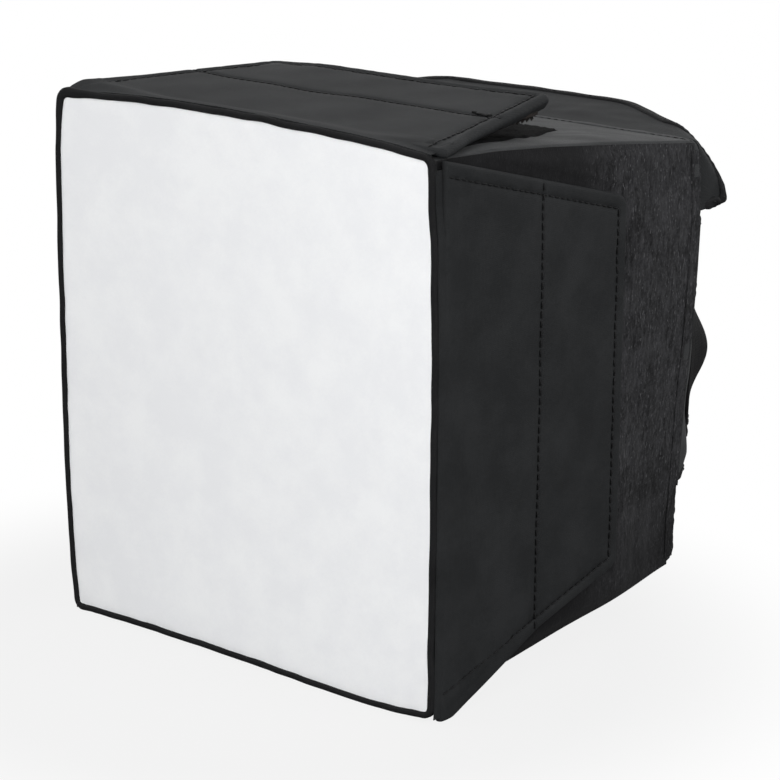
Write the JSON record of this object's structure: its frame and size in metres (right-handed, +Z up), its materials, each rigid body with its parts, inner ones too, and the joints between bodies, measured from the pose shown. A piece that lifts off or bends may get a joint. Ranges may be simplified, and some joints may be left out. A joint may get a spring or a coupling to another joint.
{
  "type": "collapsible softbox",
  "caption": "Small fold-flat softbox for a camera flash: white front cloth, stiffened folding side flaps, tapered soft body and a neck of cloth flaps with straps.",
  "frame": {"origin": "underside of the bottom flap, at the middle of its front cell, in the plane midway between the two sides", "axes": "+Z up; -Y is the way the light leaves, so the white front faces -Y; +X is to the right of someone looking at the front along +Y"},
  "size_m": [0.1534, 0.1695, 0.1731],
  "materials": {
    "diffuser_cloth": "white translucent nylon, plain weave",
    "binding_tape": "folded black bias tape, top-stitched",
    "black_nylon": "matt black woven nylon",
    "loop_pile": "black brushed loop-pile knit with short upright creases",
    "silver_lining": "silver coated lining cloth",
    "stiffener_board": "plain grey plastic board",
    "hook_tape": "rough black hook tape",
    "loop_tape": "soft black loop tape",
    "elastic": "ribbed black elastic webbing"
  },
  "bodies": {
    "shell": {"diffuser": "diffuser_cloth", "front_binding": "binding_tape", "panel_top": "black_nylon", "panel_right": "loop_pile", "panel_bottom": "black_nylon", "panel_left": "loop_pile", "lining_top": "silver_lining", "lining_right": "silver_lining", "lining_bottom": "silver_lining", "lining_left": "silver_lining", "corner_seam_top_right": "black_nylon", "corner_seam_bottom_right": "black_nylon", "corner_seam_bottom_left": "black_nylon", "corner_seam_top_left": "black_nylon"},
    "top_flap_front": {"flap_top_front_cover": "black_nylon", "flap_top_front_board": "stiffener_board"},
    "top_flap_rear": {"flap_top_rear_cover": "black_nylon", "flap_top_rear_board": "stiffener_board", "hook_pad_top_a": "hook_tape", "hook_pad_top_b": "hook_tape"},
    "right_flap_front": {"flap_right_front_cover": "black_nylon", "flap_right_front_board": "stiffener_board"},
    "right_flap_rear": {"flap_right_rear_cover": "black_nylon", "flap_right_rear_board": "stiffener_board", "hook_pad_right_a": "hook_tape", "hook_pad_right_b": "hook_tape"},
    "bottom_flap_front": {"flap_bottom_front_cover": "black_nylon", "flap_bottom_front_board": "stiffener_board"},
    "bottom_flap_rear": {"flap_bottom_rear_cover": "black_nylon", "flap_bottom_rear_board": "stiffener_board", "hook_pad_bottom_a": "hook_tape", "hook_pad_bottom_b": "hook_tape"},
    "left_flap_front": {"flap_left_front_cover": "black_nylon", "flap_left_front_board": "stiffener_board"},
    "left_flap_rear": {"flap_left_rear_cover": "black_nylon", "flap_left_rear_board": "stiffener_board", "hook_pad_left_a": "hook_tape", "hook_pad_left_b": "hook_tape"},
    "rear_end": {"rear_hem": "binding_tape"},
    "top_hood": {"hood_top": "black_nylon", "hood_top_binding": "binding_tape"},
    "bottom_hood": {"hood_bottom": "black_nylon", "hood_bottom_binding": "binding_tape"},
    "right_neck": {"neck_flap_right": "black_nylon", "neck_flap_right_binding": "binding_tape", "strap_right_anchor": "elastic", "strap_right_loop_patch": "loop_tape"},
    "left_neck": {"neck_flap_left": "black_nylon", "neck_flap_left_binding": "binding_tape", "strap_left_anchor": "elastic", "strap_left_loop_patch": "loop_tape"},
    "right_strap": {"strap_right": "elastic", "strap_right_hook_patch": "hook_tape"},
    "left_strap": {"strap_left": "elastic", "strap_left_hook_patch": "hook_tape"}
  },
  "joints": [
    {"name": "top_flap_hinge", "type": "hinge", "parent": "shell", "child": "top_flap_front", "pos_m": [0, -0.02, 0.17], "axis": [1, 0, 0], "range_deg": [0, 90]},
    {"name": "top_flap_fold", "type": "hinge", "parent": "top_flap_front", "child": "top_flap_rear", "pos_m": [0, 0.02037, 0.17169], "axis": [1, 0, 0], "range_deg": [0, 150]},
    {"name": "right_flap_hinge", "type": "hinge", "parent": "shell", "child": "right_flap_front", "pos_m": [0.075, -0.02, 0.085], "axis": [0, 0, -1], "range_deg": [0, 90]},
    {"name": "right_flap_fold", "type": "hinge", "parent": "right_flap_front", "child": "right_flap_rear", "pos_m": [0.07591, 0.02409, 0.085], "axis": [0, 0, -1], "range_deg": [0, 150]},
    {"name": "bottom_flap_hinge", "type": "hinge", "parent": "shell", "child": "bottom_flap_front", "pos_m": [0, -0.02, 0], "axis": [-1, 0, 0], "range_deg": [0, 90]},
    {"name": "bottom_flap_fold", "type": "hinge", "parent": "bottom_flap_front", "child": "bottom_flap_rear", "pos_m": [0, 0.0204, 0], "axis": [-1, 0, 0], "range_deg": [0, 150]},
    {"name": "left_flap_hinge", "type": "hinge", "parent": "shell", "child": "left_flap_front", "pos_m": [-0.075, -0.02, 0.085], "axis": [0, 0, 1], "range_deg": [0, 90]},
    {"name": "left_flap_fold", "type": "hinge", "parent": "left_flap_front", "child": "left_flap_rear", "pos_m": [-0.07591, 0.02409, 0.085], "axis": [0, 0, 1], "range_deg": [0, 150]},
    {"name": "body_collapse", "type": "slide", "parent": "shell", "child": "rear_end", "axis": [0, -1, 0], "range_m": [0, 0.09], "deforming": ["panel_top", "panel_right", "panel_bottom", "panel_left", "lining_top", "lining_right", "lining_bottom", "lining_left", "corner_seam_top_right", "corner_seam_bottom_right", "corner_seam_bottom_left", "corner_seam_top_left"]},
    {"name": "top_hood_hinge", "type": "hinge", "parent": "rear_end", "child": "top_hood", "pos_m": [0, 0.1071, 0.1543], "axis": [1, 0, 0], "range_deg": [0, 85]},
    {"name": "bottom_hood_hinge", "type": "hinge", "parent": "rear_end", "child": "bottom_hood", "pos_m": [0, 0.1071, 0.0157], "axis": [-1, 0, 0], "range_deg": [-25, 85]},
    {"name": "right_neck_hinge", "type": "hinge", "parent": "rear_end", "child": "right_neck", "pos_m": [0.0713, 0.1071, 0.085], "axis": [0, 0, -1], "range_deg": [-10, 110]},
    {"name": "left_neck_hinge", "type": "hinge", "parent": "rear_end", "child": "left_neck", "pos_m": [-0.0713, 0.1071, 0.085], "axis": [0, 0, 1], "range_deg": [-10, 110]},
    {"name": "right_strap_peel", "type": "hinge", "parent": "right_neck", "child": "right_strap", "pos_m": [0.05484, 0.13226, 0.097], "axis": [0.6018, -0.7986, 0], "range_deg": [0, 130]},
    {"name": "left_strap_peel", "type": "hinge", "parent": "left_neck", "child": "left_strap", "pos_m": [-0.05484, 0.13226, 0.097], "axis": [0.6018, 0.7986, 0], "range_deg": [0, 130]}
  ]
}
